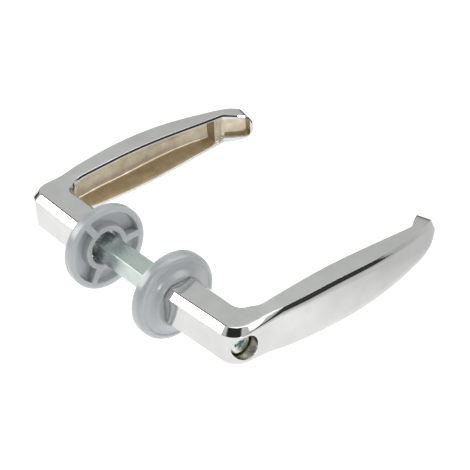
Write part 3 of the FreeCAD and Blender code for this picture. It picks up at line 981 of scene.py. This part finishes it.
@dataclass(frozen=True)
class Rose:
    """Round collar against the door, with a coved front, a stepped bore and three ribs behind."""

    side: Side
    door: float = 19.0
    rib_width: float = 3.0
    recess: float = 3.2
    recess_radii: Pair = (8.9, 14.7)
    wall_run: float = 0.25
    # Rings over half a rib, down its side, and from there half way to the next rib.
    rings: tuple[int, int, int] = (5, 6, 22)
    # Radius and height of each corner of the profile, its rounding, and the points inside its side.
    corners: tuple[tuple[float, float, float, int], ...] = (
        (6.95, 0.0, 0.2, 4),
        (6.95, 6.7, 0.1, 3),
        (9.6, 6.7, 0.08, 1),
        (9.6, 7.0, 0.08, 0),
        (10.2, 7.0, 0.22, 4),
        (12.3, 5.1, 1.3, 4),
        (14.5, 4.45, 0.15, 1),
        (14.95, 4.75, 0.2, 1),
        (16.3, 4.3, 0.7, 1),
        (17.0, 3.2, 0.8, 2),
        (17.0, 0.0, 0.25, 2),
        (14.6, 0.0, 0.2, 3),
        (14.35, 3.2, 0.4, 8),
        (9.3, 3.2, 0.4, 3),
        (9.0, 0.0, 0.2, 2),
    )

    def build(self) -> bpy.types.Object:
        """Carry the profile round the spindle, with the recess raised to the door over the ribs.

        A point's angle within its third of the turn is measured from the nearer rib. It stands at
        asin(half width / radius) where the rib's side is, so the ribs' sides are parallel.

        Returns:
            The new rose.
        """
        table = np.array(self.corners)
        between = table[:, 3].astype(int).tolist()
        flat = rounded_loops(table[None, :, :2], table[None, :, 2], between, 6)[0]
        radius, height = flat[:, 0], flat[:, 1]
        within = (radius > self.recess_radii[0]) & (radius < self.recess_radii[1])
        recess = within & (height < self.recess + 0.01)
        half = np.arcsin(0.5 * self.rib_width / radius)
        step = self.wall_run / radius
        over, down, beyond = (np.linspace(0.0, 1.0, count)[:, None] for count in self.rings)
        inside = over[:-1] * (half - step)
        side = half - step + down * step
        outside = half + beyond[1:] * (math.pi / 3 - half)
        quarter = np.concatenate([inside, side, outside])
        mirrored = 2 * math.pi / 3 - quarter[-2:0:-1]
        third = np.concatenate([quarter, mirrored])
        away = np.minimum(third, 2 * math.pi / 3 - third)
        raised = np.where(recess, 1.0 - smooth_step((away - half) / step, -1.0, 0.0), 0.0)
        level = height * (1.0 - raised)
        turns = np.arange(3)[:, None, None] * 2 * math.pi / 3
        angle = (third + turns).reshape(-1, len(radius))
        level = np.tile(level, (3, 1))
        points = np.stack([radius * np.cos(angle), -self.door - level, radius * np.sin(angle)], axis=-1)
        skin = Skin()
        skin.weave(skin.add(points), round_rows=True)
        piece = skin.build(f"{self.side.label}_round_rose", self.side, PLASTIC)
        install(piece, f"{self.side.label}_rose", f"{self.side.label}_rose")
        return piece


@dataclass(frozen=True)
class Spindle:
    """Square bar with broken edges and a bore in each end."""

    half_side: float = 4.0
    edge: float = 0.4
    half_length: float = 42.0
    bore: float = 2.55
    bore_depth: float = 16.0
    # Size of the bore's mouth and of the bar's end face, as shares of the full section.
    mouth: float = 1.15
    end_face: float = 0.92

    def build(self) -> bpy.types.Object:
        """Rings from one bore's bottom over the bar to the other's, all with the same angles.

        Returns:
            The new spindle.
        """
        half = self.half_side
        square = np.array([[(half, half), (-half, half), (-half, -half), (half, -half)]])
        loop = rounded_loops(square, np.full((1, 4), self.edge), [11] * 4, 6)[0]
        angle = np.arctan2(loop[:, 1], loop[:, 0])
        circle = np.stack([np.cos(angle), np.sin(angle)], axis=-1) * self.bore
        end = self.half_length
        rings = [(circle, end - self.bore_depth), (circle, end - self.edge), (circle * self.mouth, end),
                 (loop * self.end_face, end), (loop, end - self.edge)]
        body = [(loop, y) for y in np.linspace(end - 1.0, 1.0 - end, 24)]
        rings = rings + body + [(ring, -y) for ring, y in reversed(rings)]
        points = np.array([np.stack([ring[:, 0], np.full(len(ring), y), ring[:, 1]], axis=-1)
                           for ring, y in rings])
        skin = Skin()
        numbers = skin.add(points)
        skin.weave(numbers)
        skin.close(numbers[0], (0.0, end - self.bore_depth, 0.0))
        skin.close(numbers[-1], (0.0, self.bore_depth - end, 0.0))
        piece = skin.build("square_spindle", Side.FRONT, SPINDLE_ZINC)
        install(piece, "spindle", "spindle_and_back_lever")
        return piece


@dataclass(frozen=True)
class Screw:
    """Cross-recessed cheese-head screw with a rolled thread."""

    side: Side
    under_head: float = 55.3
    head: float = 3.3
    head_radius: float = 4.25
    edge: float = 0.6
    length: float = 20.0
    radius: float = 2.5
    pitch: float = 0.8
    thread: float = 0.42
    point_step: float = 0.6
    # Where the thread starts to rise and is full, from the point and from under the head.
    point_run: Pair = (0.8, 2.2)
    head_run: Pair = (0.6, 1.8)
    segments: int = 128
    # Rings over the cross, from the first radius to the second, and over the thread.
    cross_rings: tuple[float, float, int] = (0.06, 2.8, 44)
    thread_rings: int = 200
    # Reach, half width and depth of the cross's slots.
    slot: Triple = (2.4, 0.55, 2.0)

    def build(self) -> bpy.types.Object:
        """Polar grid over the head with a cross sunk in it, then the thread as a wave round the shank.

        Returns:
            The new screw.
        """
        turn = np.linspace(0.0, 2 * math.pi, self.segments + 1)[:-1]
        cos, sin, level = np.cos(turn), np.sin(turn), np.ones_like(turn)
        top = self.under_head + self.head
        flat = self.head_radius - self.edge
        spread = np.concatenate([np.linspace(*self.cross_rings), np.linspace(2.9, flat, 6)])
        face = top - self.sunk(spread[:, None] * cos, spread[:, None] * sin)
        t = np.linspace(0.0, math.pi / 2, 6)[1:, None]
        rim = self.head_radius - self.edge * (1.0 - np.sin(t))
        rim_depth = top - self.edge * (1.0 - np.cos(t))
        point = self.under_head - self.length
        run = np.linspace(self.under_head - 0.3, point + 1.0, self.thread_rings)[:, None]
        wave = np.abs((run / self.pitch + turn / (2 * math.pi)) % 1.0 - 0.5) * 2.0
        fade = smooth_step(run, *(point + reach for reach in self.point_run))
        fade = fade * smooth_step(-run, *(reach - self.under_head for reach in self.head_run))
        shank = self.radius - self.thread * wave * fade
        radii = np.vstack([spread[:, None] * level, rim * level, self.head_radius * level,
                           self.radius * level, shank, (self.radius - self.point_step) * level])
        depth = np.vstack([face, rim_depth * level, self.under_head * level, self.under_head * level,
                           run * level, point * level])
        skin = Skin()
        numbers = skin.add(np.stack([radii * cos, -depth, radii * sin], axis=-1))
        skin.weave(numbers)
        skin.close(numbers[0], (0.0, self.slot[2] - top, 0.0))
        skin.close(numbers[-1], (0.0, -point, 0.0))
        piece = skin.build(f"{self.side.label}_cross_screw", self.side, SCREW_ZINC)
        install(piece, f"{self.side.label}_screw", self.side.lever_body)
        return piece

    def sunk(self, x: np.ndarray, z: np.ndarray) -> np.ndarray:
        """Sink a cross: two slots with steep sides that taper towards their ends.

        Args:
            x: places across the head.
            z: places up the head.

        Returns:
            Depth of the cross there.
        """
        reach, half, deep = self.slot
        across = [(1.0 - smooth_step(np.abs(v), half - 0.1, half + 0.08))
                  * (1.0 - smooth_step(np.abs(u), reach - 0.9, reach)) for u, v in ((x, z), (z, x))]
        return deep * np.maximum(*across)


@dataclass(frozen=True)
class SpringWasher:
    """Split ring under the screw head, with a slight helical set."""

    side: Side
    floor: float = 54.0
    inner: float = 2.65
    outer: float = 4.38
    thickness: float = 1.1
    rise: float = 0.18
    split: float = 0.12
    corner: float = 0.12
    segments: int = 97

    def build(self) -> bpy.types.Object:
        """Carry a rounded rectangle round the screw, rising a little from end to end.

        Returns:
            The new washer.
        """
        turn = np.linspace(self.split, 2 * math.pi - self.split, self.segments)
        rectangle = np.array([[(self.inner, 0.0), (self.outer, 0.0), (self.outer, self.thickness),
                               (self.inner, self.thickness)]])
        flat = rounded_loops(rectangle, np.full((1, 4), self.corner), [4, 2, 4, 2], 4)[0]
        lift = self.rise * turn / (2 * math.pi)
        depth = self.floor + flat[:, 1] + lift[:, None]
        way = turn[:, None]
        points = np.stack([np.cos(way) * flat[:, 0], -depth, np.sin(way) * flat[:, 0]], axis=-1)
        skin = Skin()
        numbers = skin.add(points)
        skin.weave(numbers)
        skin.close(numbers[0], tuple(points[0].mean(axis=0)))
        skin.close(numbers[-1], tuple(points[-1].mean(axis=0)))
        piece = skin.build(f"{self.side.label}_split_washer", self.side, SPRING_STEEL)
        install(piece, f"{self.side.label}_spring_washer", self.side.lever_body)
        return piece


@dataclass(frozen=True)
class SoftBox:
    """Square light that looks at the object: where it hangs, how wide it is and its power in watts."""

    name: str
    way: Triple
    distance: float
    width: float
    power: float


@dataclass(frozen=True)
class Studio:
    """Pale floor, soft lights and the camera."""

    target: Triple = (40.02, -7.29, 0.0)
    azimuth: float = -37.565
    elevation: float = 34.766
    roll: float = -3.317
    distance: float = 636.1
    lens: float = 130.26
    floor_level: float = -78.0
    floor_half: float = 3000.0
    # Grey of the surroundings at each height, from the horizon up: dark band, wall and ceiling.
    sky: tuple[Pair, ...] = (
        (0.0, 0.04), (0.14, 0.06), (0.26, 0.55), (0.60, 0.64), (1.0, 0.95),
    )
    tint: Triple = (1.0, 1.015, 0.99)
    # Dark patches of the surroundings: direction, and the angles where each starts to fade and ends.
    dark_corners: tuple[tuple, ...] = (
        ((-0.48, -0.33, 0.81), 27.0, 39.0),
        ((-0.04, 0.65, 0.75), 8.0, 20.0),
    )
    dark: tuple[float, ...] = (0.03, 0.03, 0.03, 1.0)
    boxes: tuple[SoftBox, ...] = (
        SoftBox("softbox_left", (-0.60, 0.64, 0.50), 900.0, 420.0, 2.4),
        SoftBox("softbox_right", (0.55, -0.60, 0.66), 950.0, 560.0, 1.8),
        SoftBox("softbox_top", (0.1, 0.0, 1.0), 1200.0, 800.0, 2.4),
        SoftBox("softbox_front", (-0.27, -0.93, 0.22), 900.0, 130.0, 0.9),
    )

    def set_up(self) -> None:
        """Make the floor, the sky, the lights and the camera."""
        bpy.context.scene.view_settings.view_transform = "Standard"
        self.lay_floor()
        self.paint_sky()
        self.hang_lights()
        self.place_camera()

    def lay_floor(self) -> None:
        """Wide sheet below the levers, low enough for them to turn down clear of it."""
        half, level = self.floor_half * MM, self.floor_level * MM
        mesh = bpy.data.meshes.new("floor")
        corners = ((-half, -half), (half, -half), (half, half), (-half, half))
        mesh.from_pydata([(x, y, level) for x, y in corners], [], [(0, 1, 2, 3)])
        mesh.materials.append(PaleFloor().material())
        floor = bpy.data.objects.new("floor", mesh)
        bpy.context.scene.collection.objects.link(floor)

    def paint_sky(self) -> None:
        """Surroundings by height: a dark band at the horizon, a grey wall and a bright ceiling."""
        world = bpy.data.worlds.new("studio")
        world.use_nodes = True
        tree = world.node_tree
        place = tree.nodes.new("ShaderNodeTexCoord")
        split = tree.nodes.new("ShaderNodeSeparateXYZ")
        ramp = tree.nodes.new("ShaderNodeValToRGB")
        tree.links.new(place.outputs["Generated"], split.inputs[0])
        tree.links.new(split.outputs["Z"], ramp.inputs["Fac"])
        stops = ramp.color_ramp.elements
        for number, (height, grey) in enumerate(self.sky):
            stop = stops[number] if number < 2 else stops.new(height)
            stop.position = height
            stop.color = (*(grey * part for part in self.tint), 1.0)
        colour = ramp.outputs["Color"]
        for way, near_edge, far_edge in self.dark_corners:
            colour = self.darken(tree, place.outputs["Generated"], colour, way, near_edge, far_edge)
        tree.links.new(colour, tree.nodes["Background"].inputs["Color"])
        bpy.context.scene.world = world

    def darken(self, tree: bpy.types.NodeTree, place: Socket, sky: Socket,
               way: Triple, near_edge: float, far_edge: float) -> Socket:
        """Darken a round patch of the surroundings.

        Args:
            tree: nodes of the surroundings.
            place: direction in which the surroundings are seen.
            sky: their colour so far.
            way: direction of the patch's middle.
            near_edge: angle from the middle at which the patch starts to fade, in degrees.
            far_edge: angle at which it is gone.

        Returns:
            The new colour.
        """
        dot = tree.nodes.new("ShaderNodeVectorMath")
        dot.operation = "DOT_PRODUCT"
        dot.inputs[1].default_value = Vector(way).normalized()
        share = tree.nodes.new("ShaderNodeMapRange")
        share.interpolation_type = "SMOOTHSTEP"
        share.inputs["From Min"].default_value = math.cos(math.radians(far_edge))
        share.inputs["From Max"].default_value = math.cos(math.radians(near_edge))
        blend = tree.nodes.new("ShaderNodeMix")
        blend.data_type = "RGBA"
        blend.inputs[7].default_value = self.dark
        tree.links.new(place, dot.inputs[0])
        tree.links.new(dot.outputs["Value"], share.inputs["Value"])
        tree.links.new(share.outputs["Result"], blend.inputs["Factor"])
        tree.links.new(sky, blend.inputs[6])
        return blend.outputs[2]

    def hang_lights(self) -> None:
        """Hang every soft box."""
        for box in self.boxes:
            data = bpy.data.lights.new(box.name, "AREA")
            data.size = box.width * MM
            data.energy = box.power
            light = bpy.data.objects.new(box.name, data)
            way = Vector(box.way).normalized()
            spot = Vector(self.target) * MM + way * box.distance * MM
            facing = way.to_track_quat("Z", "Y").to_matrix().to_4x4()
            light.matrix_world = Matrix.Translation(spot) @ facing
            bpy.context.scene.collection.objects.link(light)

    def place_camera(self) -> None:
        """Camera at a distance from its target, turned a little about its own line of sight."""
        a, e, r = (math.radians(v) for v in (self.azimuth, self.elevation, self.roll))
        back = Vector((math.sin(a) * math.cos(e), -math.cos(a) * math.cos(e), math.sin(e)))
        right = (-back).cross(Vector((0, 0, 1))).normalized()
        up = right.cross(-back)
        turned = right * math.cos(r) + up * math.sin(r)
        upright = up * math.cos(r) - right * math.sin(r)
        data = bpy.data.cameras.new("camera")
        data.lens = self.lens
        camera = bpy.data.objects.new("camera", data)
        axes = Matrix((turned, upright, back)).transposed().to_4x4()
        spot = (Vector(self.target) + back * self.distance) * MM
        camera.matrix_world = Matrix.Translation(spot) @ axes
        bpy.context.scene.collection.objects.link(camera)
        bpy.context.scene.camera = camera


def main() -> None:
    """Build every piece, set up the studio and note the sizes."""
    logging.basicConfig(level=logging.INFO, format="%(name)s %(message)s")
    Spindle().build()
    for side in Side:
        Lever(side).build()
        Rose(side).build()
        Screw(side).build()
        SpringWasher(side).build()
    Studio().set_up()


if __name__ == "__main__":
    main()
